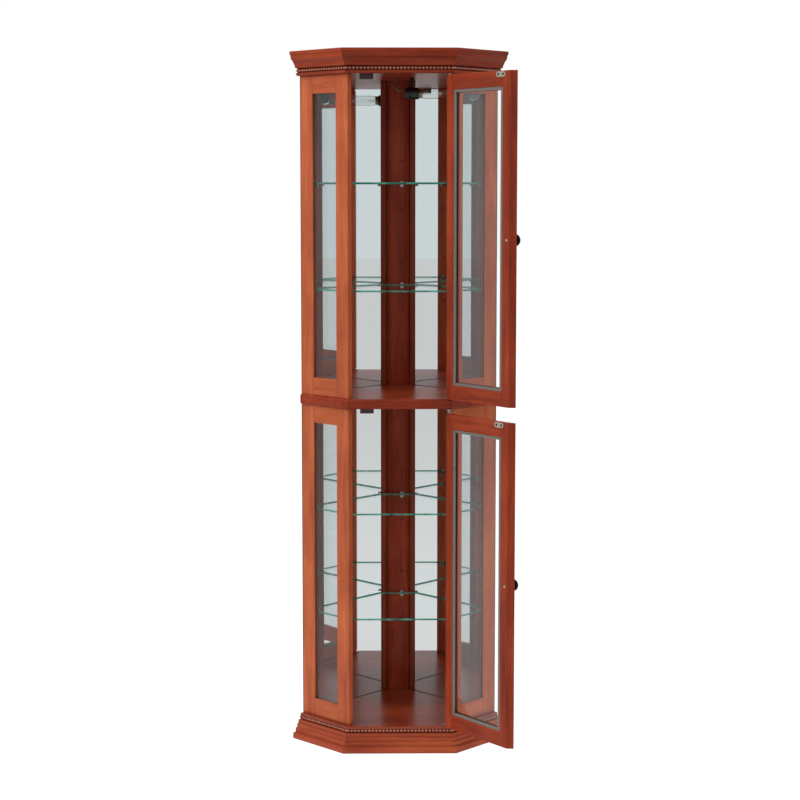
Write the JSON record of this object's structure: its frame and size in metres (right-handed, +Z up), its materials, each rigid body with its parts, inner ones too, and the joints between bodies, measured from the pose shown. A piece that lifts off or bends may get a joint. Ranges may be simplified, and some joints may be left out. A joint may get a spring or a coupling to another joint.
{
  "type": "corner display cabinet",
  "caption": "Corner display cabinet with glazed sides, mirrored rear walls, glass shelves, pivoting framed glass doors and a lamp under its moulded crown.",
  "frame": {"origin": "on the floor, under the middle of the body's front face", "axes": "+X to a viewer's right, +Y back into the room's corner, +Z up"},
  "size_m": [0.5571, 0.5704, 1.75],
  "materials": {
    "lacquered_wood": "satin",
    "mirror": "mirror",
    "shelf_glass": "gloss",
    "pane_glass": "gloss",
    "glazing_strip": "satin",
    "dark_knob": "gloss",
    "plated_steel": "satin",
    "pivot_steel": "satin",
    "pin_metal": "satin",
    "catch_plastic": "matte",
    "holder_plastic": "matte",
    "bulb_glass": "gloss",
    "lead_sleeve": "matte"
  },
  "bodies": {
    "carcase": {"back_panel_left": "lacquered_wood", "back_panel_right": "lacquered_wood", "base_back_rails": "lacquered_wood", "base_bead_rows": "lacquered_wood", "base_board": "lacquered_wood", "base_front": "lacquered_wood", "base_left": "lacquered_wood", "base_right": "lacquered_wood", "crown_bead_rows": "lacquered_wood", "crown_cap": "lacquered_wood", "crown_front": "lacquered_wood", "crown_left": "lacquered_wood", "crown_right": "lacquered_wood", "fixed_pivots": "pivot_steel", "lamp_bracket": "plated_steel", "lamp_bulb": "bulb_glass", "lamp_holder": "holder_plastic", "lamp_lead": "lead_sleeve", "lower_corner_post": "lacquered_wood", "lower_high_shelf": "shelf_glass", "lower_left_glass": "pane_glass", "lower_left_rails": "lacquered_wood", "lower_left_stiles": "lacquered_wood", "lower_low_shelf": "shelf_glass", "lower_mirrors": "mirror", "lower_right_glass": "pane_glass", "lower_right_rails": "lacquered_wood", "lower_right_stiles": "lacquered_wood", "magnetic_catches": "catch_plastic", "mirror_strips": "lacquered_wood", "shelf_pins": "pin_metal", "side_glazing_strips": "glazing_strip", "top_board": "lacquered_wood", "upper_corner_post": "lacquered_wood", "upper_high_shelf": "shelf_glass", "upper_left_glass": "pane_glass", "upper_left_rails": "lacquered_wood", "upper_left_stiles": "lacquered_wood", "upper_low_shelf": "shelf_glass", "upper_mirrors": "mirror", "upper_right_glass": "pane_glass", "upper_right_rails": "lacquered_wood", "upper_right_stiles": "lacquered_wood", "waist_board": "lacquered_wood", "wall_stiles": "lacquered_wood"},
    "upper_door": {"upper_door_glass": "pane_glass", "upper_door_glazing_strips": "glazing_strip", "upper_door_pivot_leaves": "pivot_steel", "upper_door_rails": "lacquered_wood", "upper_door_stiles": "lacquered_wood", "upper_knob": "dark_knob", "upper_strike_plate": "plated_steel"},
    "lower_door": {"lower_door_glass": "pane_glass", "lower_door_glazing_strips": "glazing_strip", "lower_door_pivot_leaves": "pivot_steel", "lower_door_rails": "lacquered_wood", "lower_door_stiles": "lacquered_wood", "lower_knob": "dark_knob", "lower_strike_plate": "plated_steel"}
  },
  "joints": [
    {"name": "upper_door_pivot", "type": "hinge", "parent": "carcase", "child": "upper_door", "pos_m": [0.1225, -0.0045, 1.2895], "axis": [0, 0, 1], "range_deg": [-128.5, 46.5]},
    {"name": "lower_door_pivot", "type": "hinge", "parent": "carcase", "child": "lower_door", "pos_m": [0.1225, -0.0045, 0.4605], "axis": [0, 0, 1], "range_deg": [-128.5, 46.5]}
  ]
}
